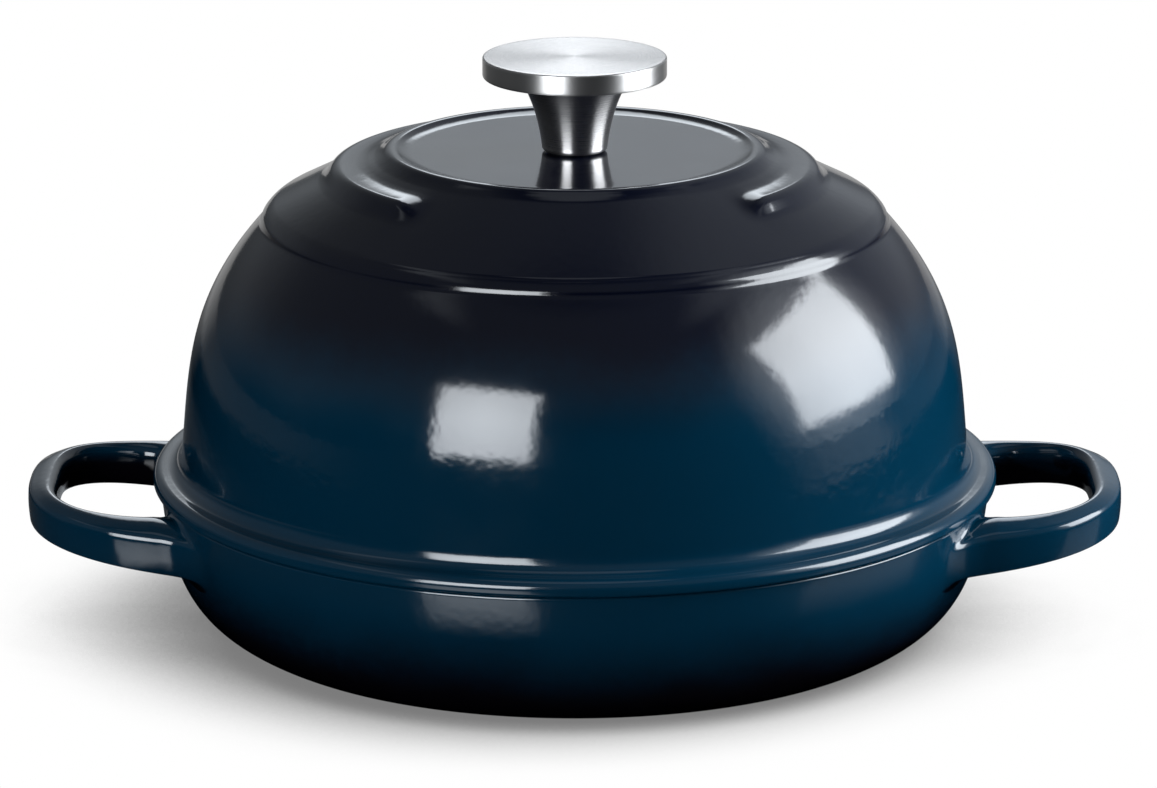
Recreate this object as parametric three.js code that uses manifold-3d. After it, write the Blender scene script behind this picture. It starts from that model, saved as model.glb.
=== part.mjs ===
// Cast iron bread oven: a shallow round pan with two loop handles, a tall domed lid that stands on
// the pan's rim, and a steel knob held through the lid's crown by a screw with two washers.
// Millimetres, +Z up, origin at the centre of the pan's flat underside, handles along X, front at -Y.
import * as THREE from 'three';
import { mergeVertices } from 'three/addons/utils/BufferGeometryUtils.js';
import Module from 'manifold-3d';

// Clearances
const seatGap = 0.3;
const ribClearance = 0.8;
const threadGap = 0.3;
const lidHoleGap = 0.5;

// Pan
const panHeight = 46;
const panRimRadius = 128.7;
const panWall = 4.4;
const panFootRadius = 100;
const panFootRound = 14;
const panFootRise = 24 * Math.PI / 180;
const panRimLean = 6 * Math.PI / 180;
const panRimRound = 1.5;
const panLowerPull = 18.5;
const panUpperPull = 22.6;

// Loop handles of the pan
const handleOverhang = 41.3;
const handleHalfWidth = 52.4;
const handleSpringInset = 10.7;
const handleSquareness = 2.5;
const handleGripAtTip = 9.5;
const handleGripAtSide = 12.8;
const holeSquareness = 3.6;
const holeInset = 1.7;
const holeCorner = 9;
const handleThickness = 12;
const handleEdgeRound = 2.3;
const handleTilt = 8.4 * Math.PI / 180;
const handleTipRise = 1.6;

// Lid rim: a bead outside, a flat brim, and a rib underneath that drops inside the pan's rim
const lidRimOverhang = 2.3;
const lidRimThickness = 5;
const beadTopRound = 3;
const beadFootRound = 1.2;
const brimWidth = 4.2;
const brimFillet = 9.3;
const ribDepth = 4;
const ribRound = 1;

// Lid dome
const lidWall = 3.9;
const domeFootInset = 9.4;
const domeDraft = 4.9 * Math.PI / 180;
const domeLowerPull = 25.3;
const domeTopInset = 24.8;
const domeTopHeight = 82.1;
const domeTopSlope = 47.6 * Math.PI / 180;
const domeUpperPull = 32.2;

// Lid crown, from the shoulder inwards: outer slope, step, inner slope, lip and sunk disc
const shoulderInset = 2.9;
const shoulderRise = 4.9;
const outerSlopeWidth = 16.2;
const outerSlopeRise = 8.2;
const stepWidth = 3.7;
const stepRise = 4.8;
const innerSlopeWidth = 16.6;
const innerSlopeRise = 3.8;
const lipWidth = 5.3;
const lipRise = 2.2;
const crownWall = 4.4;
const crownEase = 2;

// The step dies away over the front of the crown, which is one plain slope there
const plainFrontCentre = 6 * Math.PI / 180;
const plainFrontHalfAngle = 43 * Math.PI / 180;
const plainFrontBlend = 9 * Math.PI / 180;
const plainFrontBulge = 1.2;

// Knob
const stemFootRadius = 10.1;
const stemTopRadius = 17;
const stemHeight = 22.6;
const stemWall = 1.6;
const stemFootEase = 1.4;
const stemFootFlare = 7 * Math.PI / 180;
const stemLowerPull = 8;
const stemUpperPull = 7;
const stemTopFlare = 32 * Math.PI / 180;
const capRadius = 28.3;
const capThickness = 6.4;
const capEase = 0.9;
const insertRadius = 6.2;
const insertEndWall = 5;

// Screw and washers under the crown
const screwRadius = 3;
const screwEngagement = 12;
const screwHeadRadius = 5.8;
const screwHeadHeight = 3.6;
const screwHeadEase = 1.2;
const recessLength = 6.4;
const recessWidth = 1.2;
const recessDepth = 1.8;
const flatWasherRadius = 9;
const flatWasherThickness = 1.2;
const springWasherRadius = 5.4;
const springWasherThickness = 1.6;
const springWasherSplit = 14 * Math.PI / 180;

// How finely round shapes are divided
const bodySides = 56;
const knobSides = 32;
const screwSides = 20;
const curveSteps = 7;
const easeSteps = 2;
const loopSteps = 24;
const easeLimit = 0.45;

const wasm = await Module();
wasm.setup();

// A point of a turned profile: distance from the axis, then height.
const at = (radius, height) => new THREE.Vector2(radius, height);

// A closed geometry with shared corners merged and empty triangles dropped, as a solid.
function solidOf(geometry) {
  const bare = geometry.clone();
  bare.deleteAttribute('normal');
  bare.deleteAttribute('uv');
  const merged = mergeVertices(bare, 1e-4);
  const index = merged.index.array;
  const triangles = [];
  for (let i = 0; i < index.length; i += 3) {
    const [a, b, c] = [index[i], index[i + 1], index[i + 2]];
    if (a !== b && b !== c && c !== a) triangles.push(a, b, c);
  }
  const vertProperties = new Float32Array(merged.attributes.position.array);
  const triVerts = new Uint32Array(triangles);
  return new wasm.Manifold(new wasm.Mesh({ numProp: 3, vertProperties, triVerts }));
}

function geometryOf(solid) {
  const mesh = solid.getMesh();
  const geometry = new THREE.BufferGeometry();
  geometry.setAttribute('position', new THREE.BufferAttribute(mesh.vertProperties, 3));
  geometry.setIndex(new THREE.BufferAttribute(mesh.triVerts, 1));
  geometry.computeVertexNormals();
  return geometry;
}

// Turns a profile about Z. Its first angle looks to the front, -Y.
function turned(profile, sides) {
  return new THREE.LatheGeometry(profile, sides).rotateX(Math.PI / 2);
}

function upright(radius, bottom, top, sides) {
  const cylinder = new THREE.CylinderGeometry(radius, radius, top - bottom, sides);
  return cylinder.rotateX(Math.PI / 2).translate(0, 0, (top + bottom) / 2);
}

// A smooth run that leaves one point along a direction and reaches another along a second one.
function sweep(from, leaving, leavePull, to, arriving, arrivePull) {
  const first = at(Math.cos(leaving), Math.sin(leaving)).multiplyScalar(leavePull).add(from);
  const second = at(Math.cos(arriving), Math.sin(arriving)).multiplyScalar(-arrivePull).add(to);
  return new THREE.CubicBezierCurve(from, first, second, to).getPoints(curveSteps);
}

// A corner eased by a short curve that starts and ends the given length away from it.
function eased(before, corner, after, length) {
  const start = before.clone().sub(corner).setLength(length).add(corner);
  const end = after.clone().sub(corner).setLength(length).add(corner);
  return new THREE.QuadraticBezierCurve(start, corner, end).getPoints(easeSteps);
}

// A line of points with every inner corner eased, limited by the shorter leg beside it.
function easedLine(points, length) {
  const line = [points[0]];
  for (let i = 1; i < points.length - 1; i += 1) {
    const [before, corner, after] = points.slice(i - 1, i + 2);
    const reach = easeLimit * Math.min(before.distanceTo(corner), after.distanceTo(corner));
    line.push(...eased(before, corner, after, Math.min(length, reach)));
  }
  line.push(points[points.length - 1]);
  return line;
}

// Pan: the same side curve, moved in by the wall, shapes the bowl inside.
const panRimShoulder = panHeight - panRimRound;
function panSide(inset) {
  const round = panFootRound - inset;
  const foot = new THREE.EllipseCurve(
    panFootRadius, panFootRound, round, round, -Math.PI / 2, panFootRise - Math.PI / 2);
  const footArc = foot.getPoints(easeSteps);
  const start = footArc.pop();
  const rim = at(
    panRimRadius - inset * Math.cos(panRimLean),
    panRimShoulder + inset * Math.sin(panRimLean));
  const upward = Math.PI / 2 - panRimLean;
  return [...footArc, ...sweep(start, panFootRise, panLowerPull, rim, upward, panUpperPull)];
}

const panOuterSide = panSide(0);
const panInnerSide = panSide(panWall);
const panMouth = panInnerSide[panInnerSide.length - 1];
const rimCorner = at(panRimRadius, panHeight);
const rimArc = eased(panOuterSide[panOuterSide.length - 1], rimCorner, at(0, panHeight), panRimRound);
const panBody = solidOf(turned(
  [at(0, 0), ...panOuterSide.slice(0, -1), ...rimArc, at(0, panHeight)], bodySides));
const panHollow = solidOf(turned(
  [at(0, panWall), ...panInnerSide, at(panMouth.x + panRimRound / 2, panHeight),
    at(panMouth.x + panRimRound / 2, panHeight + panWall), at(0, panHeight + panWall)], bodySides));

// Handle: a superellipse loop in plan around a squarer finger hole, tilted up towards its tip.
const handleReach = panRimRadius + handleOverhang;
const handleSpring = panRimRadius - handleSpringInset;
const loopLength = handleReach - handleSpring;
function loopPoint(length, halfWidth, squareness, turn) {
  const along = Math.abs(Math.cos(turn)) ** (2 / squareness);
  const across = Math.sign(Math.sin(turn)) * Math.abs(Math.sin(turn)) ** (2 / squareness);
  return at(handleSpring + length * along, halfWidth * across);
}

function handlePlan() {
  const root = Math.sqrt((panMouth.x - panWall) ** 2 - handleHalfWidth ** 2);
  const outline = [at(root, -handleHalfWidth)];
  for (let i = 0; i <= loopSteps; i += 1) {
    const turn = Math.PI * (i / loopSteps - 0.5);
    outline.push(loopPoint(loopLength, handleHalfWidth, handleSquareness, turn));
  }
  outline.push(at(root, handleHalfWidth));
  const holeLength = loopLength - handleGripAtTip;
  const holeHalfWidth = handleHalfWidth - handleGripAtSide;
  const cornerStart = panRimRadius - holeInset + holeCorner;
  const hole = [];
  for (let i = 1; i < loopSteps; i += 1) {
    const turn = Math.PI * (i / loopSteps - 0.5);
    const point = loopPoint(holeLength, holeHalfWidth, holeSquareness, turn);
    if (point.x > cornerStart) hole.push(point);
  }
  const cornerTop = holeHalfWidth - holeCorner;
  const upper = new THREE.EllipseCurve(
    cornerStart, cornerTop, holeCorner, holeCorner, Math.PI / 2, Math.PI);
  const lower = new THREE.EllipseCurve(
    cornerStart, -cornerTop, holeCorner, holeCorner, Math.PI, 1.5 * Math.PI);
  hole.push(...upper.getPoints(easeSteps), ...lower.getPoints(easeSteps));
  const plan = new THREE.Shape(outline);
  plan.holes.push(new THREE.Path(hole));
  return plan;
}

function handle(turn) {
  const core = handleThickness - 2 * handleEdgeRound;
  const bar = new THREE.ExtrudeGeometry(handlePlan(), {
    depth: core,
    bevelThickness: handleEdgeRound,
    bevelSize: handleEdgeRound,
    bevelOffset: -handleEdgeRound,
    bevelSegments: easeSteps,
  });
  const rise = Math.tan(handleTilt);
  bar.translate(-handleReach, 0, -core - handleEdgeRound);
  bar.applyMatrix4(new THREE.Matrix4().makeShear(0, rise, 0, 0, 0, 0));
  bar.translate(handleReach, 0, panHeight + handleTipRise);
  return solidOf(bar.rotateZ(turn));
}

const pan = panBody.add(handle(0)).add(handle(Math.PI)).subtract(panHollow);

// Lid: heights count from its seat on the pan's rim.
const lidRimRadius = panRimRadius + lidRimOverhang;
const domeFootRadius = lidRimRadius - domeFootInset;
const domeTopRadius = domeFootRadius - domeTopInset;
const domeFootHeight = lidRimThickness + brimFillet;
function domeSide(inset) {
  const foot = at(
    domeFootRadius - inset * Math.cos(domeDraft),
    domeFootHeight - inset * Math.sin(domeDraft));
  const top = at(
    domeTopRadius - inset * Math.sin(domeTopSlope),
    domeTopHeight - inset * Math.cos(domeTopSlope));
  return sweep(
    foot, Math.PI / 2 + domeDraft, domeLowerPull, top, Math.PI - domeTopSlope, domeUpperPull);
}

const shoulder = at(domeTopRadius - shoulderInset, domeTopHeight + shoulderRise);
const stepFoot = at(shoulder.x - outerSlopeWidth, shoulder.y + outerSlopeRise);
const stepCrest = at(stepFoot.x - stepWidth, stepFoot.y + stepRise);
const lipFoot = at(stepCrest.x - innerSlopeWidth, stepCrest.y + innerSlopeRise);
const lipCrest = at(lipFoot.x - lipWidth / 2, lipFoot.y + lipRise);
const discEdge = at(lipFoot.x - lipWidth, lipFoot.y);
const discCentre = at(0, discEdge.y);

const lidOuterSide = domeSide(0);
const lidInnerSide = domeSide(lidWall);
const innerFoot = lidInnerSide[0];
const innerTop = lidInnerSide[lidInnerSide.length - 1];

// The ceiling under the crown is flat in the middle and bends down into the dome's inner side.
const ceiling = discEdge.y - crownWall;
const ceilingBend = at(innerTop.x - (ceiling - innerTop.y) / Math.tan(domeTopSlope), ceiling);
const ceilingRun = new THREE.QuadraticBezierCurve(at(discEdge.x, ceiling), ceilingBend, innerTop);
const ribRadius = panMouth.x - ribDepth * Math.tan(panRimLean) - ribClearance;
const inside = [
  at(0, ceiling),
  ...ceilingRun.getPoints(curveSteps).slice(0, -1),
  ...lidInnerSide.reverse(),
];
const rim = easedLine([
  innerFoot,
  at(innerFoot.x, -ribDepth),
  at(ribRadius, -ribDepth),
  at(ribRadius, 0),
], ribRound).slice(1);
const beadFoot = eased(at(ribRadius, 0), at(lidRimRadius, 0), at(lidRimRadius, 1), beadFootRound);
const beadTop = eased(
  at(lidRimRadius, 0), at(lidRimRadius, lidRimThickness), at(0, lidRimThickness), beadTopRound);
const brimEnd = at(lidRimRadius - brimWidth, lidRimThickness);
const fillet = new THREE.QuadraticBezierCurve(
  brimEnd, at(domeFootRadius, lidRimThickness), lidOuterSide[0]);
const crown = easedLine([
  lidOuterSide[lidOuterSide.length - 2],
  lidOuterSide[lidOuterSide.length - 1],
  shoulder,
  stepFoot,
  stepCrest,
  lipFoot,
  lipCrest,
  discEdge,
  discCentre,
], crownEase).slice(1);
const lidProfile = [
  ...inside,
  ...rim,
  ...beadFoot,
  ...beadTop,
  ...fillet.getPoints(easeSteps + 1),
  ...lidOuterSide.slice(1, -1),
  ...crown,
];

// How far an angle round the crown lies in its plain front: 1 inside, 0 outside, eased between.
function plainFront(angle) {
  const away = Math.abs(Math.atan2(Math.sin(angle - plainFrontCentre), Math.cos(angle - plainFrontCentre)));
  const inner = plainFrontHalfAngle - plainFrontBlend / 2;
  return 1 - THREE.MathUtils.smoothstep(away, inner, inner + plainFrontBlend);
}

// The height of the plain slope that runs from the lip to the shoulder.
function plainSlope(radius) {
  const share = (radius - lipFoot.x) / (shoulder.x - lipFoot.x);
  const straight = THREE.MathUtils.lerp(lipFoot.y, shoulder.y, share);
  return straight + 4 * plainFrontBulge * share * (1 - share);
}

function lidBody() {
  const body = turned(lidProfile, bodySides);
  const position = body.attributes.position;
  const crownStart = lidProfile.length - crown.length;
  for (let i = 0; i < position.count; i += 1) {
    const step = i % lidProfile.length;
    const { x: radius, y: height } = lidProfile[step];
    const between = radius > lipFoot.x + crownEase && radius < shoulder.x - crownEase;
    if (step >= crownStart && between) {
      const angle = Math.floor(i / lidProfile.length) / bodySides * 2 * Math.PI;
      position.setZ(i, THREE.MathUtils.lerp(height, plainSlope(radius), plainFront(angle)));
    }
  }
  return solidOf(body);
}

const lidHole = upright(screwRadius + lidHoleGap, ceiling - crownWall, discEdge.y + crownWall, screwSides);
const lid = lidBody().subtract(solidOf(lidHole));

// Knob: a hollow flared stem on the crown's disc, a flat cap on it and a threaded insert inside.
// Heights count from the stem's foot.
function stemSide(inset) {
  const foot = at(stemFootRadius - inset, stemFootEase);
  const top = at(stemTopRadius - inset, stemHeight);
  const leaving = Math.PI / 2 - stemFootFlare;
  const arriving = Math.PI / 2 - stemTopFlare;
  return sweep(foot, leaving, stemLowerPull, top, arriving, stemUpperPull);
}

const stemFloor = stemWall;
const stemInner = stemSide(stemWall).reverse();
const stemHole = insertRadius + seatGap;
const stemProfile = [
  at(stemHole, stemFloor),
  at(stemHole, 0),
  ...eased(at(0, 0), at(stemFootRadius, 0), stemSide(0)[1], stemFootEase),
  ...stemSide(0).slice(1),
  ...stemInner.slice(0, -1),
  at(stemInner[stemInner.length - 2].x, stemFloor),
  at(stemHole, stemFloor),
];

const capProfile = easedLine([
  at(0, 0),
  at(capRadius, 0),
  at(capRadius, capThickness),
  at(0, capThickness),
], capEase);

const insertBore = screwRadius + threadGap;
const insertProfile = [
  at(insertBore, 0),
  at(insertRadius, 0),
  at(insertRadius, stemHeight),
  at(0, stemHeight),
  at(0, stemHeight - insertEndWall),
  at(insertBore, stemHeight - insertEndWall),
  at(insertBore, 0),
];

// Screw: a rounded head with a cross recess below, its shank up through the crown into the insert.
// Heights count from under the head, where the shank starts.
const stack = flatWasherThickness + springWasherThickness + 3 * seatGap;
const shankLength = stack + crownWall + seatGap + screwEngagement;
const headCorner = at(screwHeadRadius, -screwHeadHeight);
const headFace = at(0, -screwHeadHeight);
const screwProfile = [
  headFace,
  ...eased(headFace, headCorner, at(screwHeadRadius, 0), screwHeadEase),
  at(screwHeadRadius, 0),
  at(screwRadius, 0),
  at(screwRadius, shankLength),
  at(0, shankLength),
];

function screw() {
  const body = solidOf(turned(screwProfile, screwSides));
  const slot = new THREE.BoxGeometry(recessLength, recessWidth, 2 * recessDepth);
  slot.translate(0, 0, -screwHeadHeight);
  const crossed = slot.clone().rotateZ(Math.PI / 2);
  return body.subtract(solidOf(slot)).subtract(solidOf(crossed));
}

const washerBore = screwRadius + threadGap;
const flatWasherProfile = [
  at(washerBore, 0),
  at(flatWasherRadius, 0),
  at(flatWasherRadius, flatWasherThickness),
  at(washerBore, flatWasherThickness),
  at(washerBore, 0),
];

function springWasher() {
  const ring = new THREE.Shape();
  const end = 2 * Math.PI - springWasherSplit;
  ring.absarc(0, 0, springWasherRadius, springWasherSplit, end, false);
  ring.absarc(0, 0, washerBore, end, springWasherSplit, true);
  return new THREE.ExtrudeGeometry(ring, {
    depth: springWasherThickness,
    bevelEnabled: false,
    curveSegments: screwSides,
  });
}

// Assembly: each piece stands on the one below it.
const darkEnamel = { color: 0x0a2230, roughness: 0.16, metalness: 0 };
const crownEnamel = { color: 0x10202c, roughness: 0.16, metalness: 0 };
const polishedSteel = { color: 0xc9cbcd, roughness: 0.14, metalness: 1 };
const brushedSteel = { color: 0xbfc1c3, roughness: 0.3, metalness: 1 };
const plainSteel = { color: 0x9a9da0, roughness: 0.4, metalness: 1 };

const oven = new THREE.Group();
function place(name, geometry, look, height) {
  const mesh = new THREE.Mesh(geometry, new THREE.MeshStandardMaterial(look));
  mesh.name = name;
  mesh.position.z = height;
  oven.add(mesh);
}

const lidSeat = panHeight + seatGap;
const stemSeat = lidSeat + discEdge.y + seatGap;
const capSeat = stemSeat + stemHeight + seatGap;
const flatWasherSeat = lidSeat + ceiling - seatGap - flatWasherThickness;
const springWasherSeat = flatWasherSeat - seatGap - springWasherThickness;
const screwSeat = springWasherSeat - seatGap;

place('base', geometryOf(pan), darkEnamel, 0);
place('lid', geometryOf(lid), crownEnamel, lidSeat);
place('knob_stem', turned(stemProfile, knobSides), polishedSteel, stemSeat);
place('knob_cap', turned(capProfile, knobSides), brushedSteel, capSeat);
place('knob_insert', turned(insertProfile, screwSides), plainSteel, stemSeat);
place('flat_washer', turned(flatWasherProfile, screwSides), plainSteel, flatWasherSeat);
place('spring_washer', springWasher(), plainSteel, springWasherSeat);
place('knob_screw', geometryOf(screw()), plainSteel, screwSeat);

export default oven;
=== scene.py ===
import bmesh
import bpy
import math
from mathutils import Matrix, Vector
from mathutils.geometry import interpolate_bezier


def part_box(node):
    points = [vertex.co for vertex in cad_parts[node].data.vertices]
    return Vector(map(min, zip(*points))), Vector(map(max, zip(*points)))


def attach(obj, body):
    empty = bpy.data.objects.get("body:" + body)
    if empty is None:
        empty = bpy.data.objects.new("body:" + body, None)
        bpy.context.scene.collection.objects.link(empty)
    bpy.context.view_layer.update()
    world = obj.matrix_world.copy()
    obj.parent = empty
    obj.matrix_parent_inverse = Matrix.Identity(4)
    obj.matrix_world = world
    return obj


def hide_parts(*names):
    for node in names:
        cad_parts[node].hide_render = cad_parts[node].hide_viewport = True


# The oven's solids come in as the frame. Everything below is in metres, in the same place:
# the middle of the pan's underside is the origin, handles lie along X and the front looks to -Y.
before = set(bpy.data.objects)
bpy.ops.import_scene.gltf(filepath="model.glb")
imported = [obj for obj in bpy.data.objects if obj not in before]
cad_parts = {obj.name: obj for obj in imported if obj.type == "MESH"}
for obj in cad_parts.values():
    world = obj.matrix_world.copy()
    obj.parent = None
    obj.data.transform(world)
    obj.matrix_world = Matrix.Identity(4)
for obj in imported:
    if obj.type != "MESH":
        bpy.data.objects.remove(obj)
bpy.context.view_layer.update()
MM = 0.001


# Pan. The lower half is a shallow round sand casting in iron, ground flat at the rim.
# It is dipped in glaze and fired: glossy teal outside that runs to black towards the
# foot, satin black inside.
pan_height = 46 * MM
pan_rim_radius = 128.7 * MM
pan_rim_lean = math.radians(6)
pan_rim_round = 1.5 * MM
pan_wall = 4.4 * MM
pan_foot_radius = 100 * MM
pan_foot_round = 14 * MM
pan_foot_rise = math.radians(24)
pan_foot_ease = 4 * MM
pan_lower_pull = 18.5 * MM
pan_upper_pull = 22.6 * MM
teal_glaze = (0.0003, 0.0137, 0.0286, 1)
# The black of the pan's foot, which the handles also take as their painted shade.
foot_glaze_and_painted_shade = (0.0012, 0.0010, 0.0020, 1)
teal_from_height = 38 * MM
black_below_height = 9 * MM
around_body = 240


def swept(start, leaving, leave_pull, end, arriving, arrive_pull, steps=28):
    """A smooth run of an outline between two (radius, height) points, along two directions."""
    start, end = Vector(start), Vector(end)
    first = start + leave_pull * Vector((math.cos(leaving), math.sin(leaving)))
    second = end - arrive_pull * Vector((math.cos(arriving), math.sin(arriving)))
    return [(p.x, p.y) for p in interpolate_bezier(start, first, second, end, steps)]


def turned(outlines, around, longest=4 * MM):
    """Turns outlines of (radius, height, easing) points about the oven's axis into one skin.

    An easing rounds that corner, and every outline gives its faces the coat numbered with it.
    """
    skin = bmesh.new()
    for outline, coat in outlines:
        line = bmesh.new()
        corners = [line.verts.new((p[0], 0, p[1])) for p in outline]
        for pair in zip(corners, corners[1:]):
            line.edges.new(pair)
        for corner, place in zip(corners, outline):
            if len(place) > 2:
                bmesh.ops.bevel(line, geom=[corner], offset=place[2], offset_type='OFFSET',
                                segments=8, profile=0.5, affect='VERTICES', material=-1)
        for edge in list(line.edges):
            cuts = int(edge.calc_length() / longest)
            if cuts:
                bmesh.ops.subdivide_edges(line, edges=[edge], cuts=cuts)
        bmesh.ops.spin(line, geom=line.verts[:] + line.edges[:], cent=(0, 0, 0), axis=(0, 0, 1),
                       angle=2 * math.pi, steps=around, use_merge=True)
        for face in line.faces:
            face.material_index = coat
        part = bpy.data.meshes.new("outline")
        line.to_mesh(part)
        line.free()
        skin.from_mesh(part)
        bpy.data.meshes.remove(part)
    bmesh.ops.remove_doubles(skin, verts=skin.verts, dist=1e-6)
    bmesh.ops.recalc_face_normals(skin, faces=skin.faces)
    return skin


def piece(name, skin, *finishes):
    """Makes a smooth object of a skin, with its finishes in order."""
    for face in skin.faces:
        face.smooth = True
    mesh = bpy.data.meshes.new(name)
    skin.to_mesh(mesh)
    skin.free()
    for finish in finishes:
        mesh.materials.append(finish)
    made = bpy.data.objects.new(name, mesh)
    bpy.context.scene.collection.objects.link(made)
    return made


class Wiring:
    """A node tree under construction: add() places a node and wires or sets its inputs."""

    def __init__(self, tree):
        self.tree = tree

    def add(self, kind, inputs=None, **settings):
        node = self.tree.nodes.new(kind)
        for key, value in settings.items():
            setattr(node, key, value)
        self.feed(node, inputs or {})
        return node

    def feed(self, node, inputs):
        for key, value in inputs.items():
            if isinstance(value, bpy.types.NodeSocket):
                self.tree.links.new(value, node.inputs[key])
            else:
                node.inputs[key].default_value = value

    def math(self, operation, first, second=0.0):
        return self.add('ShaderNodeMath', {0: first, 1: second}, operation=operation).outputs[0]

    def joined(self, operation, first, *others):
        """Adds or multiplies any number of values."""
        for other in others:
            first = self.math(operation, first, other)
        return first

    def rise(self, value, start, end, low=0.0, high=1.0):
        """Goes smoothly from low to high while the value goes from start to end."""
        inputs = {'Value': value, 'From Min': start, 'From Max': end,
                  'To Min': low, 'To Max': high}
        return self.add('ShaderNodeMapRange', inputs,
                        interpolation_type='SMOOTHSTEP').outputs[0]


class Finish(Wiring):
    """A surface material: place is where a point lies on the oven, surface is its shader."""

    def __init__(self, name):
        self.material = bpy.data.materials.new(name)
        self.material.use_nodes = True
        super().__init__(self.material.node_tree)
        self.surface = self.tree.nodes["Principled BSDF"]
        self.place = self.add('ShaderNodeTexCoord').outputs['Object']

    def noise(self, scale, detail=2.0):
        inputs = {'Vector': self.place, 'Scale': scale, 'Detail': detail}
        return self.add('ShaderNodeTexNoise', inputs).outputs['Fac']

    def spread(self, noise, low, high):
        return self.rise(noise, 0.3, 0.7, low, high)

    def bump(self, height):
        raised = self.add('ShaderNodeBump', {'Height': height, 'Distance': 1.0})
        self.feed(self.surface, {'Normal': raised.outputs[0]})


def fired_glaze(name, colours, ripple):
    """Glossy enamel whose colour, in two stops, and fine ripple run with height."""
    glaze = Finish(name)
    height = glaze.add('ShaderNodeSeparateXYZ', {0: glaze.place}).outputs['Z']
    drift = glaze.spread(glaze.noise(28), -2.2 * MM, 2.2 * MM)
    speck = glaze.spread(glaze.noise(420, 4), -0.9 * MM, 0.9 * MM)
    run = glaze.math('ADD', height, glaze.math('ADD', drift, speck))
    low, high = colours[0][0], colours[-1][0]
    share = glaze.add('ShaderNodeMapRange', {'Value': run, 'From Min': low, 'From Max': high})
    ramp = glaze.add('ShaderNodeValToRGB', {'Fac': share.outputs[0]})
    ramp.color_ramp.interpolation = 'EASE'
    for stop, (level, colour) in zip(ramp.color_ramp.elements, colours):
        stop.position = (level - low) / (high - low)
        stop.color = colour
    depth = ripple[0][1]
    for (low_at, low_depth), (high_at, high_depth) in zip(ripple, ripple[1:]):
        change = glaze.rise(height, low_at, high_at, 0.0, high_depth - low_depth)
        depth = glaze.math('ADD', depth, change)
    patchy = glaze.math('MULTIPLY', depth, glaze.spread(glaze.noise(35), 0.6, 1.3))
    waves = glaze.math('MULTIPLY', glaze.noise(260, 1), patchy)
    peel = glaze.math('MULTIPLY', glaze.noise(900, 1), 0.0040 * MM)
    glaze.bump(glaze.math('ADD', waves, peel))
    glaze.feed(glaze.surface, {
        'Base Color': ramp.outputs['Color'],
        'Roughness': glaze.spread(glaze.noise(60), 0.075, 0.115),
        'IOR': 1.6})
    return glaze


def satin_glaze(name):
    """The black cooking surface: fine grained, only half shiny."""
    glaze = Finish(name)
    grain = glaze.noise(1400, 3)
    tone = glaze.add('ShaderNodeMix', {'Factor': glaze.noise(90, 4), 'A': (0.006, 0.006, 0.007, 1),
                                       'B': (0.016, 0.016, 0.018, 1)}, data_type='RGBA')
    glaze.bump(glaze.math('MULTIPLY', grain, 0.02 * MM))
    glaze.feed(glaze.surface, {
        'Base Color': tone.outputs['Result'],
        'Roughness': glaze.spread(grain, 0.34, 0.5),
        'IOR': 1.5})
    return glaze.material


def pan_side(inset):
    foot_out = pan_foot_radius + (pan_foot_round - inset) * math.sin(pan_foot_rise)
    foot_up = pan_foot_round - (pan_foot_round - inset) * math.cos(pan_foot_rise)
    rim = (pan_rim_radius - inset * math.cos(pan_rim_lean),
           pan_height - pan_rim_round + inset * math.sin(pan_rim_lean))
    return swept((foot_out, foot_up), pan_foot_rise, pan_lower_pull,
                 rim, math.pi / 2 - pan_rim_lean, pan_upper_pull, 40)


pan_outer = pan_side(0)
pan_inner = pan_side(pan_wall)
pan_mouth = pan_inner[-1][0] + pan_rim_round / 2
pan_skin = turned([
    ([(0, 0), (pan_foot_radius, 0, pan_foot_ease), *pan_outer,
      (pan_rim_radius, pan_height, pan_rim_round * 0.9), (pan_mouth, pan_height)], 0),
    ([(0, pan_wall), (pan_foot_radius - pan_wall, pan_wall, pan_foot_ease), *pan_inner,
      (pan_mouth, pan_height)], 1),
], around_body)
pan_colours = [(black_below_height, foot_glaze_and_painted_shade), (teal_from_height, teal_glaze)]
pan_ripple = [(15 * MM, 0.030 * MM), (40 * MM, 0.045 * MM)]
pan_glaze = fired_glaze("pan glaze", pan_colours, pan_ripple)
inside_glaze = satin_glaze("inside glaze")
pan = piece("pan", pan_skin, pan_glaze.material, inside_glaze)
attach(pan, "pan")
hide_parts("base")


# Handles. Two flat loops cast in one with the pan and dipped with it, tilted up towards the tip.
# The outer face leans with the mould's draft under a crisp upper edge, each arm runs into the pan's
# side in a fillet, and painted shade darkens the teal towards black down the soft edged finger hole and
# under the bar.
handle_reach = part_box("base")[1].x
handle_spring = pan_rim_radius - 10.7 * MM
handle_half_width = 52.4 * MM
handle_squareness = 2.5
grip_at_tip = 9.5 * MM
grip_at_side = 12.8 * MM
hole_squareness = 3.6
handle_thickness = 12 * MM
handle_tilt = math.radians(8.4)
handle_tip_top = pan_height + 1.6 * MM
bar_half_width = 5.6 * MM
bar_corners = [
    (5.2 * MM, 4.4 * MM, 1.5 * MM),
    (5.6 * MM, -2.0 * MM, 3.4 * MM),
    (4.8 * MM, -6.0 * MM, 2.6 * MM),
    (-4.4 * MM, -6.0 * MM, 2.8 * MM),
    (-6.4 * MM, 0.0 * MM, 3.0 * MM),
    (-5.4 * MM, 6.9 * MM, 3.0 * MM),
    (-0.6 * MM, 6.7 * MM, 2.2 * MM),
]
root_rise = 2.4 * MM
upper_fillet = 1.2 * MM
lower_fillet = 4 * MM
outer_fillet = 9 * MM
hole_fillet = 16 * MM
root_depth = 0.3 * MM
sink_slope = 5
root_share = 0.18
along_handle = 200
bar_step = 1.2 * MM


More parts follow.
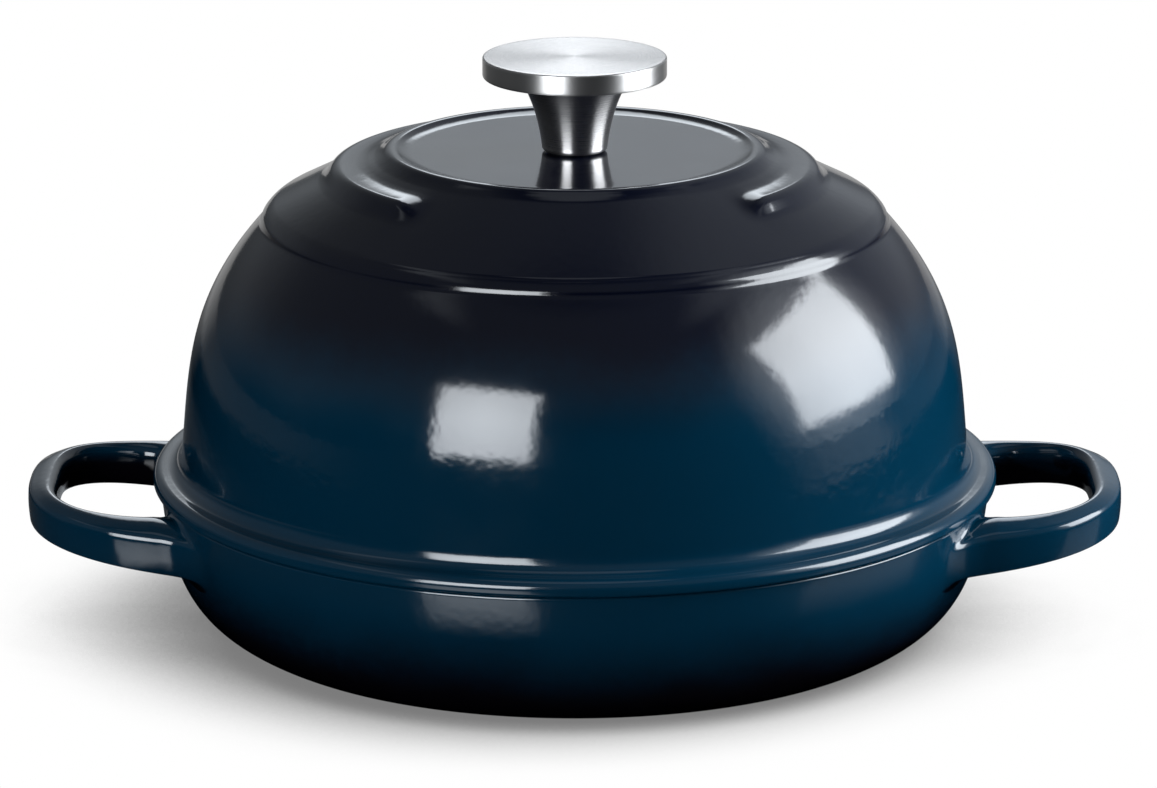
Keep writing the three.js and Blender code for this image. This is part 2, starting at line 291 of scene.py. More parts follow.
def bar_section():
    """The bar's cross-section as (across, up) points in order, with its corners rounded."""
    cut = bmesh.new()
    corners = [cut.verts.new((across, 0, up)) for across, up, easing in bar_corners]
    for pair in zip(corners, corners[1:] + corners[:1]):
        cut.edges.new(pair)
    for corner, (across, up, easing) in zip(corners, bar_corners):
        bmesh.ops.bevel(cut, geom=[corner], offset=easing, offset_type='OFFSET', segments=6,
                        profile=0.5, affect='VERTICES', material=-1)
    for edge in list(cut.edges):
        bmesh.ops.subdivide_edges(cut, edges=[edge], cuts=int(edge.calc_length() / bar_step))
    cut.verts.ensure_lookup_table()
    ring, edge = [cut.verts[0]], cut.verts[0].link_edges[0]
    while edge.other_vert(ring[-1]) is not ring[0]:
        ring.append(edge.other_vert(ring[-1]))
        edge = next(e for e in ring[-1].link_edges if e is not edge)
    points = [Vector((vert.co.x, vert.co.z)) for vert in ring]
    cut.free()
    return points


def pan_radius_at(height):
    """How far the pan's outer side stands from the axis at a height."""
    for (low_radius, low), (high_radius, high) in zip(pan_outer, pan_outer[1:]):
        if height <= high:
            return low_radius + (high_radius - low_radius) * (height - low) / (high - low)
    return pan_rim_radius


def loop_edge(length, half_width, squareness, turn):
    """A point of the loop's outline, seen from above: a rounded square that starts at the pan."""
    sideways = math.copysign(abs(math.sin(turn)) ** (2 / squareness), turn)
    return Vector((handle_spring + length * abs(math.cos(turn)) ** (2 / squareness),
                   half_width * sideways, 0))


def fillet_swell(fillet, clear):
    """How much a round fillet stands out where the bar is this clear of the pan."""
    rest = min(max(1 - clear / fillet, 0), 1)
    return fillet * (1 - math.sqrt(1 - rest ** 2)) + sink_slope * max(-clear, 0)


def handle_point(share, section, facing):
    """A point of the handle: share runs from root to root, section and facing go round the bar."""
    from_tip = min(abs(share - 0.5) / (0.5 - root_share), 1)
    in_root = max(0, abs(share - 0.5) - (0.5 - root_share)) / root_share
    in_root = 1 - (1 - in_root) ** 2
    turn = math.copysign(math.pi / 2 * (1 - (1 - from_tip) ** 2), share - 0.5)
    length = handle_reach - handle_spring
    outer = loop_edge(length, handle_half_width, handle_squareness, turn)
    inner = loop_edge(length - grip_at_tip, handle_half_width - grip_at_side, hole_squareness, turn)
    half_bar = (outer - inner) / 2
    spot = (outer + inner) / 2 + half_bar * (section.x / bar_half_width)
    middle = handle_tip_top - handle_thickness / 2 - (handle_reach - spot.x) * math.tan(handle_tilt)
    towards_pan = (handle_reach - spot.x) / (handle_reach - pan_rim_radius)
    upper_half = max(section.y, 0) / (handle_thickness / 2)
    spot.z = middle + section.y + root_rise * min(towards_pan, 1) ** 2 * upper_half
    deepest = pan_radius_at(spot.z) - root_depth
    spot.x += (math.sqrt(deepest ** 2 - spot.y ** 2) - spot.x) * in_root
    clear = max(math.hypot(spot.x, spot.y) - pan_radius_at(spot.z), -root_depth)
    sideways = fillet_swell(outer_fillet if facing.x > 0 else hole_fillet, clear)
    spot.y += math.copysign(facing.x, facing.x * half_bar.y) * sideways
    spot.z += facing.y * fillet_swell(upper_fillet if facing.y > 0 else lower_fillet, clear)
    if sideways:
        spot.x = math.sqrt((pan_radius_at(spot.z) + clear) ** 2 - spot.y ** 2)
    return spot


def loop_handle(name, side):
    section = bar_section()
    facing = [(after - before).orthogonal().normalized() for before, after in
              zip(section[-1:] + section[:-1], section[1:] + section[:1])]
    if facing[0].dot(section[0]) < 0:
        facing = [-way for way in facing]
    bar = bmesh.new()
    painted_shade = bar.verts.layers.float.new("painted_shade")
    bmesh.ops.create_grid(bar, x_segments=along_handle, y_segments=len(section), size=0.5)
    for vert in bar.verts:
        at = round((vert.co.y + 0.5) * len(section)) % len(section)
        spot = handle_point(vert.co.x + 0.5, section[at], facing[at])
        # Painted shade: each point gets a share that is high on faces turned up and outwards and on top
        # of the bar, low in the finger hole and underneath.
        raised = section[at].y / handle_thickness
        vert[painted_shade] = facing[at].dot(painted_light_from) + painted_light_on_top * raised
        vert.co = (side * spot.x, side * spot.y, spot.z)
    bmesh.ops.remove_doubles(bar, verts=bar.verts, dist=1e-6)
    bmesh.ops.holes_fill(bar, edges=[e for e in bar.edges if e.is_boundary], sides=0)
    bmesh.ops.recalc_face_normals(bar, faces=bar.faces)
    made = piece(name, bar, handle_glaze.material)
    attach(made, "pan")


# Painted shade on the handles: the way the painted light comes from across the bar, and how much the
# top of the bar gains.
painted_light_from = Vector((0.8, 0.6))
painted_light_on_top = 0.9
handle_glaze = fired_glaze("handle glaze", pan_colours, pan_ripple)
painted_lit_share = handle_glaze.add('ShaderNodeAttribute', attribute_name="painted_shade").outputs['Fac']
# Shade painted into the colour: the teal darkens to black where the lit share is low, on the inner and
# lower faces.
painted_shade_mix = handle_glaze.add('ShaderNodeMix', {
    'Factor': handle_glaze.rise(painted_lit_share, -0.75, 0.0), 'A': foot_glaze_and_painted_shade,
    'B': handle_glaze.surface.inputs['Base Color'].links[0].from_socket}, data_type='RGBA')
handle_glaze.feed(handle_glaze.surface, {'Base Color': painted_shade_mix.outputs['Result']})
loop_handle("handle_right", 1)
loop_handle("handle_left", -1)


# Lid. A tall dome cast in iron with a beaded rim outside, a rib below that drops into the pan,
# and a stepped crown round a sunk disc. Glazed as the pan is: teal at the rim, nearly black
# on the crown, satin black inside.
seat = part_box("lid")[0].z + 4 * MM
rim_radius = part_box("lid")[1].x
rim_thickness = 5 * MM
bead_round = 3 * MM
bead_foot_round = 1.2 * MM
bead_seat_width = 2.5 * MM
brim_width = 4.2 * MM
brim_fillet = 9.3 * MM
rib_depth = 4 * MM
rib_ease = 1 * MM
rib_gap = 0.8 * MM
rib_radius = pan_inner[-1][0] - rib_depth * math.tan(pan_rim_lean) - rib_gap
lid_wall = 3.9 * MM
dome_foot = (rim_radius - 9.4 * MM, seat + rim_thickness + brim_fillet)
dome_draft = math.radians(4.9)
dome_lower_pull = 25.3 * MM
dome_top = (dome_foot[0] - 24.8 * MM, seat + 82.1 * MM)
dome_top_slope = math.radians(47.6)
dome_upper_pull = 32.2 * MM
riser_top = (dome_top[0] - 0.5 * MM, dome_top[1] + 1.9 * MM)
shoulder = (dome_top[0] - 2.9 * MM, dome_top[1] + 4.9 * MM)
step_foot = (shoulder[0] - 16.2 * MM, shoulder[1] + 8.2 * MM)
step_crest = (step_foot[0] - 3.9 * MM, step_foot[1] + 4.9 * MM)
ledge = [(step_crest[0] - 3.8 * MM, step_crest[1] + 0.15 * MM),
         (step_crest[0] - 8 * MM, step_crest[1] + 0.65 * MM)]
lip_foot = (step_crest[0] - 13.6 * MM, step_crest[1] + 2.6 * MM)
lip_crest = (lip_foot[0] - 3.5 * MM, lip_foot[1] + 3.2 * MM)
disc_edge = (lip_crest[0] - 4.6 * MM, lip_crest[1] - 2.1 * MM)
crown_wall = 4.4 * MM
ceiling_flat_radius = 34 * MM
crown_ease = 2 * MM
lid_hole_radius = 3.5 * MM
plain_front_centre = math.radians(2.5)
plain_front_half_angle = math.radians(45)
plain_front_blend = math.radians(9)
plain_front_bulge = 0.3 * MM
crown_glaze = (0.0008, 0.0014, 0.0050, 1)
teal_up_to_height = 87 * MM
dark_from_height = 119 * MM


def dome_side(inset):
    foot = (dome_foot[0] - inset * math.cos(dome_draft),
            dome_foot[1] - inset * math.sin(dome_draft))
    top = (dome_top[0] - inset * math.sin(dome_top_slope),
           dome_top[1] - inset * math.cos(dome_top_slope))
    return swept(foot, math.pi / 2 + dome_draft, dome_lower_pull,
                 top, math.pi - dome_top_slope, dome_upper_pull, 44)


dome_outer = dome_side(0)
dome_inner = dome_side(lid_wall)
ceiling = disc_edge[1] - crown_wall
ceiling_start = Vector((ceiling_flat_radius, ceiling))
ceiling_end = Vector(dome_inner[-1])
ceiling_bend = Vector((ceiling_end.x - (ceiling - ceiling_end.y) / math.tan(dome_top_slope),
                       ceiling))
brim_end = Vector((rim_radius - brim_width, seat + rim_thickness))
brim_corner = Vector((dome_foot[0] + brim_fillet * math.tan(dome_draft), seat + rim_thickness))
brim_top = Vector(dome_foot).lerp(brim_corner, 0.4)
brim_curve = interpolate_bezier(brim_end, brim_end.lerp(brim_corner, 0.5),
                                brim_top.lerp(brim_corner, 0.86), brim_top, 20)
ceiling_curve = interpolate_bezier(ceiling_start, ceiling_start.lerp(ceiling_bend, 2 / 3),
                                   ceiling_end.lerp(ceiling_bend, 2 / 3), ceiling_end, 24)
lid_outside = [
    (rim_radius - bead_seat_width, seat),
    (rim_radius, seat, bead_foot_round),
    (rim_radius, seat + rim_thickness, bead_round),
    *[(p.x, p.y) for p in brim_curve],
    *dome_outer[:-1],
    (*dome_top, crown_ease * 0.4),
    (*riser_top, crown_ease * 0.4),
    (*shoulder, crown_ease),
    (*step_foot, crown_ease * 0.8),
    (*step_crest, crown_ease),
    (*ledge[0], crown_ease * 0.6),
    (*ledge[1], crown_ease * 0.9),
    (*lip_foot, crown_ease),
    (*lip_crest, crown_ease * 1.2),
    (*disc_edge, crown_ease * 1.2),
    (lid_hole_radius, disc_edge[1]),
]
lid_inside = [
    (lid_hole_radius, disc_edge[1]),
    (lid_hole_radius, ceiling),
    *[(p.x, p.y) for p in ceiling_curve],
    *dome_inner[-2::-1],
    (dome_inner[0][0], seat - rib_depth, rib_ease),
    (rib_radius, seat - rib_depth, rib_ease),
    (rib_radius, seat),
    (rim_radius - bead_seat_width, seat),
]


def ease_plain_front(skin):
    """Levels the step to one plain slope over the front of the crown."""
    foot_fall = (lip_foot[1] - ledge[1][1]) / (lip_foot[0] - ledge[1][0])
    for vert in skin.verts:
        radius = math.hypot(vert.co.x, vert.co.y)
        inside = any(face.material_index for face in vert.link_faces)
        if inside or not lip_foot[0] < radius < shoulder[0]:
            continue
        turn = math.atan2(vert.co.x, -vert.co.y) - plain_front_centre
        away = abs(math.atan2(math.sin(turn), math.cos(turn)))
        fade = min(max((away - plain_front_half_angle) / plain_front_blend + 0.5, 0), 1)
        plain = 1 - fade * fade * (3 - 2 * fade)
        share = (radius - lip_foot[0]) / (shoulder[0] - lip_foot[0])
        slope = lip_foot[1] + (shoulder[1] - lip_foot[1]) * share
        slope += 4 * plain_front_bulge * share * (1 - share)
        in_foot = max(1 - (radius - lip_foot[0]) / (2 * crown_ease), 0)
        slope += in_foot * (vert.co.z - lip_foot[1] - foot_fall * (radius - lip_foot[0]))
        vert.co.z += (slope - vert.co.z) * plain


lid_skin = turned([(lid_outside, 0), (lid_inside, 1)], around_body, longest=2 * MM)
ease_plain_front(lid_skin)
lid_colours = [(teal_up_to_height, teal_glaze), (dark_from_height, crown_glaze)]
lid_ripple = [(56 * MM, 0.020 * MM), (66 * MM, 0.075 * MM),
              (76 * MM, 0.075 * MM), (96 * MM, 0.030 * MM)]
lid_glaze = fired_glaze("lid glaze", lid_colours, lid_ripple)
lid = piece("lid_shell", lid_skin, lid_glaze.material, inside_glaze)
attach(lid, "lid")
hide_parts("lid")


# Knob stem. A hollow flared cone turned from stainless steel and polished, standing on the crown's
# disc. The screw from below pulls it down.
stem_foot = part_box("knob_stem")[0].z
stem_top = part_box("knob_stem")[1].z
stem_foot_radius = 10.1 * MM
stem_top_radius = 17 * MM
stem_foot_ease = 1.4 * MM
stem_wall = 1.6 * MM
stem_foot_flare = math.radians(7)
stem_top_flare = math.radians(32)
stem_lower_pull = 8 * MM
stem_upper_pull = 7 * MM
insert_hole_radius = 6.5 * MM
around_knob = 128


def turned_steel(name, colour, rings, roughness, drag):
    """Stainless steel with the fine rings of lathe and belt, which drag its reflections across them."""
    steel = Finish(name)
    level = steel.add('ShaderNodeSeparateXYZ', {0: steel.place})
    flat = steel.add('ShaderNodeCombineXYZ', {'X': level.outputs['X'], 'Y': level.outputs['Y']})
    radius = steel.add('ShaderNodeVectorMath', {0: flat.outputs[0]}, operation='LENGTH')
    from_middle = steel.math('ADD', radius.outputs['Value'], level.outputs['Z'])
    across = steel.math('MULTIPLY', from_middle, rings)
    lines = steel.add('ShaderNodeTexNoise', {'W': across, 'Scale': 1.0, 'Detail': 3.0},
                      noise_dimensions='1D').outputs['Fac']
    steel.bump(steel.math('MULTIPLY', lines, 0.0002 * MM))
    tone = steel.add('ShaderNodeMix', {'Factor': lines, 'A': (*[c * 0.94 for c in colour], 1),
                                       'B': (*colour, 1)}, data_type='RGBA')
    handled = steel.spread(steel.noise(60, 3), -0.02, 0.02)
    shine = steel.math('ADD', steel.spread(lines, *roughness), handled)
    around = steel.add('ShaderNodeTangent', direction_type='RADIAL', axis='Z')
    steel.feed(steel.surface, {
        'Base Color': tone.outputs['Result'], 'Metallic': 1.0, 'Roughness': shine,
        'Anisotropic': drag, 'Anisotropic Rotation': 0.25, 'Tangent': around.outputs[0]})
    return steel.material


def stem_side(inset):
    foot = (stem_foot_radius - inset, stem_foot + stem_foot_ease)
    top = (stem_top_radius - inset, stem_top)
    return swept(foot, math.pi / 2 - stem_foot_flare, stem_lower_pull,
                 top, math.pi / 2 - stem_top_flare, stem_upper_pull)


stem_inner = stem_side(stem_wall)
stem_skin = turned([
    ([(insert_hole_radius, stem_foot), (stem_foot_radius, stem_foot, stem_foot_ease * 0.9),
      *stem_side(0), *stem_inner[::-1], (stem_inner[0][0], stem_foot + stem_wall),
      (insert_hole_radius, stem_foot + stem_wall), (insert_hole_radius, stem_foot)], 0),
], around_knob, longest=1.5 * MM)
polished_steel = turned_steel("polished steel", (0.72, 0.70, 0.69), 5200, (0.27, 0.31), 0.88)
stem = piece("stem", stem_skin, polished_steel)
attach(stem, "lid")
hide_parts("knob_stem")


# Knob cap. A flat disc of stainless steel welded on the stem, faced on the lathe to a satin finish
# with a small chamfered edge.
cap_low, cap_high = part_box("knob_cap")
cap_radius = cap_high.x
cap_ease = 0.9 * MM
cap_skin = turned([
    ([(0, cap_low.z), (cap_radius, cap_low.z, cap_ease), (cap_radius, cap_high.z, cap_ease * 0.7),
      (0, cap_high.z)], 0),
], around_knob, longest=1.5 * MM)
for face in cap_skin.faces:
    face.material_index = int(face.normal.z < 0.6)
faced_steel = turned_steel("faced steel", (0.60, 0.572, 0.555), 4200, (0.24, 0.30), 0.6)
belted_steel = turned_steel("belted steel", (0.84, 0.82, 0.80), 5200, (0.40, 0.44), 0.92)
cap = piece("cap", cap_skin, faced_steel, belted_steel)
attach(cap, "lid")
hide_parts("knob_cap")


# Insert. The threaded steel bush inside the hollow stem, hidden once the knob is on. Its solid is
# right as it stands and only takes the plain steel.
plain_steel = turned_steel("plain steel", (0.50, 0.49, 0.48), 3000, (0.28, 0.40), 0.3)
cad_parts["knob_insert"].data.materials[0] = plain_steel


# Flat washer. A stamped zinc plated ring that spreads the screw's pull over the enamel under the
# crown, its edges rounded by the punch.
flat_low, flat_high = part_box("flat_washer")
flat_ease = 0.25 * MM
bolt_hole_radius = 3.3 * MM
around_bolt = 64


def ring_outline(inner, outer, low, high, ease):
    middle = (low + high) / 2
    return [(inner, middle), (inner, low, ease), (outer, low, ease), (outer, high, ease),
            (inner, high, ease), (inner, middle)]


flat_skin = turned([
    (ring_outline(bolt_hole_radius, flat_high.x, flat_low.z, flat_high.z, flat_ease), 0),
], around_bolt)
flat_washer = piece("washer_flat", flat_skin, plain_steel)
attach(flat_washer, "washers")
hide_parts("flat_washer")


# Spring washer. A square steel wire wound into one turn and split, pressed flat between the screw's
# head and the flat washer to keep the screw from working loose.
spring_low, spring_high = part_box("spring_washer")
spring_radius = 5.4 * MM
spring_split = math.radians(14)
spring_ease = 0.2 * MM
spring_skin = bmesh.new()
spring_corners = [
    spring_skin.verts.new((bolt_hole_radius, 0, spring_low.z)),
    spring_skin.verts.new((spring_radius, 0, spring_low.z)),
    spring_skin.verts.new((spring_radius, 0, spring_high.z)),
    spring_skin.verts.new((bolt_hole_radius, 0, spring_high.z)),
]
spring_skin.faces.new(spring_corners)
bmesh.ops.bevel(spring_skin, geom=spring_skin.verts[:], offset=spring_ease, offset_type='OFFSET',
                segments=3, profile=0.5, affect='VERTICES', material=-1)
bmesh.ops.rotate(spring_skin, verts=spring_skin.verts, cent=(0, 0, 0),
                 matrix=Matrix.Rotation(spring_split, 3, 'Z'))
bmesh.ops.spin(spring_skin, geom=spring_skin.faces[:] + spring_skin.edges[:] + spring_skin.verts[:],
               cent=(0, 0, 0), axis=(0, 0, 1), angle=2 * math.pi - 2 * spring_split, steps=around_bolt)
bmesh.ops.recalc_face_normals(spring_skin, faces=spring_skin.faces)
spring_washer = piece("washer_spring", spring_skin, plain_steel)
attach(spring_washer, "washers")
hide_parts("spring_washer")


# Screw. A zinc plated machine screw with a cross recess, put in from inside the lid through both
# washers. It holds the knob down and turns in the insert's thread, one millimetre a turn.
screw_low, screw_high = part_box("knob_screw")
screw_head_top = spring_low.z - 0.3 * MM
screw_head_radius = 5.8 * MM
thread_radius = 2.95 * MM
core_radius = 2.5 * MM
thread_pitch = 1 * MM
thread_start = screw_head_top + 2.4 * MM
recess_length = 6.4 * MM
recess_width = 1.2 * MM
recess_depth = 1.8 * MM
recess_taper = 0.8
ridge_half_foot = 0.42 * MM
ridge_half_crest = 0.06 * MM
ridge_sink = 0.1 * MM
screw_skin = turned([
    ([(0, screw_low.z), (screw_head_radius - 1 * MM, screw_low.z, 1 * MM),
      (screw_head_radius, screw_low.z + 1.4 * MM, 0.9 * MM),
      (screw_head_radius, screw_head_top, 0.3 * MM),
      (thread_radius, screw_head_top, 0.2 * MM), (thread_radius, thread_start - 1 * MM),
      (core_radius, thread_start - 0.5 * MM), (core_radius, screw_high.z - 0.4 * MM),
      (core_radius - 0.5 * MM, screw_high.z), (0, screw_high.z)], 0)], around_bolt)
for along in (Vector((1, 0, 0)), Vector((0, 1, 0))):
    for reach in (-recess_length / 2, -recess_width / 2, recess_width / 2, recess_length / 2):
        bottom = [face for face in screw_skin.faces if face.normal.z < -0.99]
        cut_through = {part for face in bottom for part in (face, *face.edges, *face.verts)}
        bmesh.ops.bisect_plane(screw_skin, geom=list(cut_through),
                               plane_co=along * reach, plane_no=along)


def in_recess(face):
    middle = face.calc_center_median()
    short, long = sorted((abs(middle.x), abs(middle.y)))
    return face.normal.z < -0.99 and short < recess_width / 2 and long < recess_length / 2


recess = [face for face in screw_skin.faces if in_recess(face)]
sunk = bmesh.ops.extrude_face_region(screw_skin, geom=recess)["geom"]
sunk_corners = [part for part in sunk if isinstance(part, bmesh.types.BMVert)]
bmesh.ops.translate(screw_skin, verts=sunk_corners, vec=(0, 0, recess_depth))
bmesh.ops.scale(screw_skin, verts=sunk_corners, vec=(recess_taper, recess_taper, 1))
bmesh.ops.delete(screw_skin, geom=recess, context='FACES')
thread = bmesh.new()
ridge = [thread.verts.new((core_radius - ridge_sink, 0, thread_start - ridge_half_foot)),
         thread.verts.new((thread_radius, 0, thread_start - ridge_half_crest)),
         thread.verts.new((thread_radius, 0, thread_start + ridge_half_crest)),
         thread.verts.new((core_radius - ridge_sink, 0, thread_start + ridge_half_foot))]
thread.faces.new(ridge)
thread_turns = int((screw_high.z - thread_start) / thread_pitch) - 1
thread_steps = 40
bmesh.ops.spin(thread, geom=thread.faces[:] + thread.edges[:] + thread.verts[:],
               cent=(0, 0, 0), axis=(0, 0, 1), dvec=(0, 0, thread_pitch / thread_steps),
               angle=2 * math.pi * thread_turns, steps=thread_steps * thread_turns)
bmesh.ops.recalc_face_normals(thread, faces=thread.faces)
thread_mesh = bpy.data.meshes.new("thread")
thread.to_mesh(thread_mesh)
thread.free()
bmesh.ops.recalc_face_normals(screw_skin, faces=screw_skin.faces)
screw_skin.from_mesh(thread_mesh)
bpy.data.meshes.remove(thread_mesh)
screw = piece("screw", screw_skin, plain_steel)
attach(screw, "screw")
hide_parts("knob_screw")


# Floor. A plain white sweep that the oven stands on, with the soft shadow round its foot.
# In reflections it is dark, with a faint sheen near the oven, a dim far end, and light on it
# far off to the right and under the wall behind.
floor_drop = 0.3 * MM
floor_half_width = 4
shadow_reach = 65 * MM
shadow_way = {'X': 0.30, 'Y': -0.10, 'Z': 0.95}
floor_grey = (0.25, 0.25, 0.25, 1)
sheen_roughness = 0.18
floor_skin = bmesh.new()
bmesh.ops.create_grid(floor_skin, x_segments=1, y_segments=1, size=floor_half_width,
                      matrix=Matrix.Translation((0, 0, -floor_drop)))
sweep = Finish("sweep")
floor_rays = sweep.add('ShaderNodeLightPath').outputs
lean = sweep.add('ShaderNodeCombineXYZ', shadow_way)
shade = sweep.add('ShaderNodeAmbientOcclusion',
                  {'Distance': shadow_reach, 'Normal': lean.outputs[0]}, samples=16)
white = sweep.add('ShaderNodeEmission', {
    'Strength': sweep.rise(shade.outputs['AO'], 0.15, 0.85, 0.2, 1.0)})
away = sweep.add('ShaderNodeVectorMath', {0: sweep.place}, operation='LENGTH').outputs['Value']
floor_x, floor_y, _ = sweep.add('ShaderNodeSeparateXYZ', {0: sweep.place}).outputs
ahead = sweep.math('DIVIDE', floor_y, away)
rightwards = sweep.math('DIVIDE', floor_x, away)
table_end = sweep.math('MULTIPLY', sweep.rise(away, 0.6, 0.8, 0.0, 0.08),
                       sweep.rise(ahead, -0.6, 0.0))
lit_table = sweep.joined('MULTIPLY', sweep.rise(away, 0.52, 0.72, 0.0, 0.36),
                         sweep.rise(rightwards, 0.55, 0.85), sweep.rise(ahead, -0.55, -0.20),
                         sweep.rise(ahead, 0.02, 0.28, 1.0, 0.0))
under_wall = sweep.math('MULTIPLY', sweep.rise(away, 0.25, 0.9, 0.0, 0.40),
                        sweep.rise(ahead, 0.75, 0.97))
dim = sweep.add('ShaderNodeEmission', {
    'Strength': sweep.joined('ADD', lit_table, table_end, under_wall)})
gloss = sweep.joined('MULTIPLY', sweep.rise(away, 0.165, 0.205),
                     sweep.rise(away, 0.34, 0.44, 0.18, 0.0),
                     sweep.rise(floor_x, -0.02, 0.06, 1.0, 0.18))
gloss_colour = sweep.add('ShaderNodeCombineColor', {0: gloss, 1: gloss, 2: gloss})
sheen = sweep.add('ShaderNodeBsdfGlossy', {
    'Color': gloss_colour.outputs[0], 'Roughness': sheen_roughness})
mirrored = sweep.add('ShaderNodeAddShader', {0: dim.outputs[0], 1: sheen.outputs[0]})
sweep.feed(sweep.surface, {'Base Color': floor_grey,
                           'Roughness': sweep.spread(sweep.noise(5), 0.8, 0.9)})
unseen = sweep.add('ShaderNodeMixShader', {
    0: floor_rays['Is Glossy Ray'], 1: sweep.surface.outputs[0], 2: mirrored.outputs[0]})
seen = sweep.add('ShaderNodeMixShader', {
    0: floor_rays['Is Camera Ray'], 1: unseen.outputs[0], 2: white.outputs[0]})
sweep.feed(sweep.tree.nodes['Material Output'], {'Surface': seen.outputs[0]})
floor = piece("floor", floor_skin, sweep.material)


# Studio. A white room for the camera. In reflections it is a dim grey room with a bright wall
# behind the oven. Two soft boxes stand to the front left and to the right, and two lamps that
# don't show in reflections fill the sides.
mirrored_tint = (0.93, 1.0, 1.07, 1)
plain_white = (1, 1, 1, 1)
even_strength = 0.15
right_box_way = (0.927, -0.032, 0.375)
world = bpy.data.worlds.new("studio")
bpy.context.scene.world = world
world.use_nodes = True
world.node_tree.nodes.clear()
studio = Wiring(world.node_tree)
sky_rays = studio.add('ShaderNodeLightPath').outputs
towards = studio.add('ShaderNodeTexCoord').outputs['Generated']
right, back, up = studio.add('ShaderNodeSeparateXYZ', {0: towards}).outputs
to_front = studio.math('MAXIMUM', studio.math('MULTIPLY', back, -1.0), 0.0)
to_side = studio.math('ABSOLUTE', right)
level = studio.math('SQRT', studio.math('SUBTRACT', 1.0001, studio.math('MULTIPLY', up, up)))
straight_back = studio.math('MAXIMUM', studio.math('DIVIDE', back, level), 0.0)
room_start = studio.math('SUBTRACT', studio.math('MULTIPLY', to_front, 0.25), 0.06)
room_full = studio.math('ADD', studio.math('MULTIPLY', to_front, 0.55), 0.22)
room = studio.math('MULTIPLY', studio.rise(up, room_start, room_full, 0.0, 0.11),
                   studio.rise(up, 0.88, 0.97, 1.0, 0.25))
low_wall = studio.joined('MULTIPLY', studio.rise(up, 0.0, 0.26, 0.10, 0.52),
                         studio.rise(up, 0.30, 0.42, 1.0, 0.45),
                         studio.math('POWER', straight_back, 40.0))
high_wall = studio.math('MULTIPLY', studio.rise(straight_back, 0.987, 0.996),
                        studio.rise(up, 0.28, 0.38, 0.0, 3.2))
wall = studio.math('MULTIPLY', studio.rise(up, 0.68, 0.80, 1.0, 0.0),
                   studio.math('ADD', low_wall, high_wall))
overhead = studio.rise(up, 0.962, 0.985, 0.0, 0.35)
high_sides = studio.joined('MULTIPLY', studio.rise(up, 0.78, 0.84, 0.0, 0.45),
                           studio.rise(up, 0.86, 0.93, 1.0, 0.0),
                           studio.rise(to_side, 0.40, 0.60))
side_room = studio.math('MULTIPLY', studio.rise(back, 0.3, 0.8, 0.0, 0.07),
                        studio.rise(up, 0.35, 0.6, 1.0, 0.0))
right_wall = studio.joined('MULTIPLY', studio.rise(right, 0.05, 0.30, 0.0, 0.20),
                           studio.rise(back, 0.15, 0.45), studio.rise(up, 0.0, 0.15, 0.45, 1.0))
near_box = studio.add('ShaderNodeVectorMath', {0: towards, 1: right_box_way},
                      operation='DOT_PRODUCT')
halo = studio.math('POWER', studio.rise(near_box.outputs['Value'], 0.77, 0.98, 0.0, 1.4), 2.0)
room_light = studio.joined('ADD', room, wall, right_wall, halo, side_room, overhead, high_sides)
mirrored_room = studio.add('ShaderNodeBackground', {
    'Color': mirrored_tint, 'Strength': room_light})
even_room = studio.add('ShaderNodeBackground', {'Color': plain_white, 'Strength': even_strength})
white_room = studio.add('ShaderNodeBackground', {'Color': plain_white, 'Strength': 1.0})
unseen_room = studio.add('ShaderNodeMixShader', {
    0: sky_rays['Is Glossy Ray'], 1: even_room.outputs[0], 2: mirrored_room.outputs[0]})
whole_room = studio.add('ShaderNodeMixShader', {
    0: sky_rays['Is Camera Ray'], 1: unseen_room.outputs[0], 2: white_room.outputs[0]})
studio.add('ShaderNodeOutputWorld', {'Surface': whole_room.outputs[0]})
lit_spot = Vector((0, 0, 95 * MM))
lamp_tint = (0.95, 1.0, 1.05)


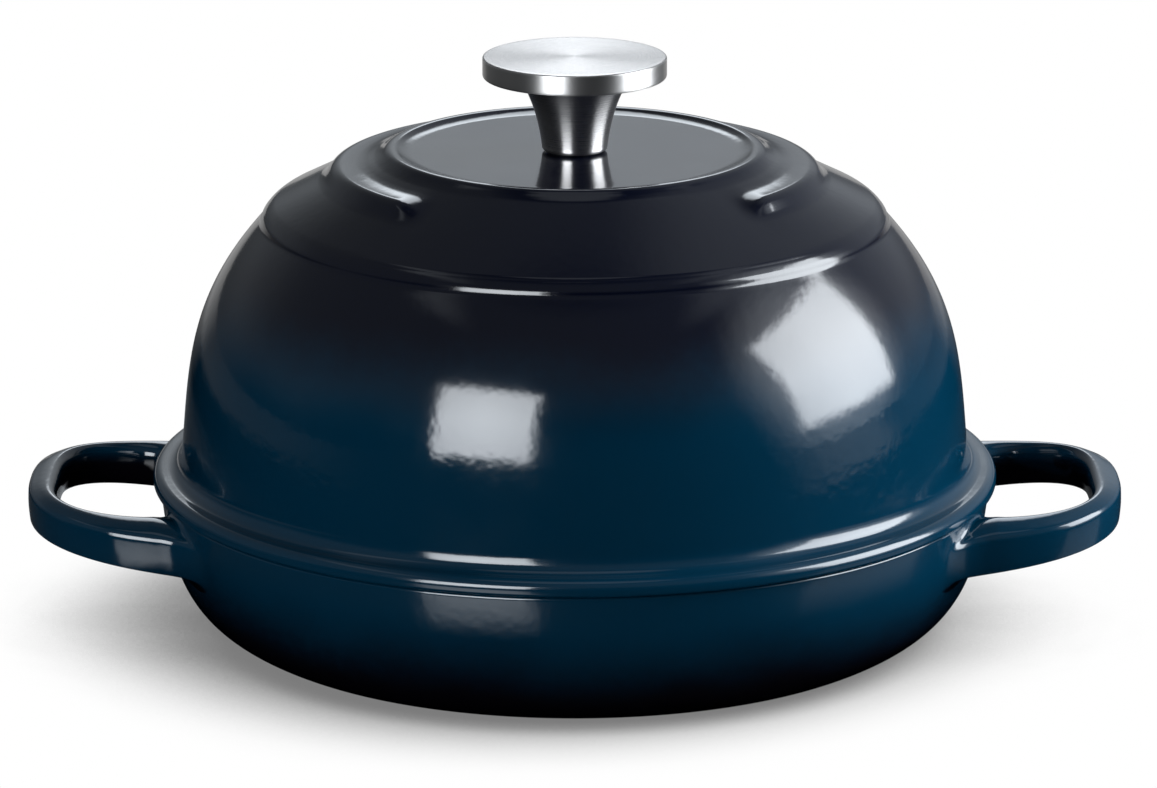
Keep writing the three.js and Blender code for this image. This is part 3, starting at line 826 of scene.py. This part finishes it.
def soft_box(name, azimuth, elevation, distance, wide, high, brightness, mirrored=True):
    """An area lamp seen from the oven at these angles, as wide and high as given in degrees."""
    turn, rise = math.radians(azimuth), math.radians(elevation)
    out = Vector((math.sin(turn) * math.cos(rise), -math.cos(turn) * math.cos(rise),
                  math.sin(rise)))
    lamp = bpy.data.lights.new(name, 'AREA')
    lamp.shape = 'RECTANGLE'
    lamp.size = 2 * distance * math.tan(math.radians(wide / 2))
    lamp.size_y = 2 * distance * math.tan(math.radians(high / 2))
    lamp.energy = brightness * math.pi * lamp.size * lamp.size_y
    lamp.color = lamp_tint
    lamp.use_nodes = True
    cloth = Wiring(lamp.node_tree)
    wide_at, high_at, _ = cloth.add('ShaderNodeSeparateXYZ', {
        0: cloth.add('ShaderNodeNewGeometry').outputs['Parametric']}).outputs
    for place in (wide_at, high_at):
        inwards = cloth.math('MINIMUM', place, cloth.math('SUBTRACT', 1.0, place))
        soft = cloth.math('ADD', cloth.rise(inwards, 0.0, 0.10),
                          cloth.rise(inwards, 0.1, 0.5, 0.0, 0.12))
        wide_at = soft if place is wide_at else cloth.math('MULTIPLY', wide_at, soft)
    cloth.feed(cloth.tree.nodes['Emission'], {'Strength': wide_at})
    holder = bpy.data.objects.new(name, lamp)
    holder.location = lit_spot + out * distance
    holder.rotation_mode = 'QUATERNION'
    holder.rotation_quaternion = out.to_track_quat('Z', 'Y')
    holder.visible_camera = False
    holder.visible_glossy = mirrored
    bpy.context.scene.collection.objects.link(holder)


soft_box("left_box", -26, 15.7, 1.3, 31, 29, 8.2)
soft_box("right_box", 87, 21.5, 1.3, 44, 39, 7.6)
soft_box("right_fill", 102, 20, 1.5, 40, 36, 20, mirrored=False)
soft_box("left_fill", -44, 14, 0.5, 20, 20, 3.6, mirrored=False)


# Camera. A long lens two metres in front of the oven and above it: it stands where the
# photograph was taken from, and looks down at the oven by this angle.
look_down = 0.2678
camera = bpy.data.cameras.new("photo")
camera.sensor_width = 36
camera.lens = 205.08
photo_view = bpy.data.objects.new("photo", camera)
photo_view.location = (1.17 * MM, -1973.34 * MM, 613.91 * MM)
photo_view.rotation_euler = (math.pi / 2 - look_down, 0, 0)
bpy.context.scene.collection.objects.link(photo_view)
bpy.context.scene.camera = photo_view
bpy.context.scene.view_settings.view_transform = 'Standard'
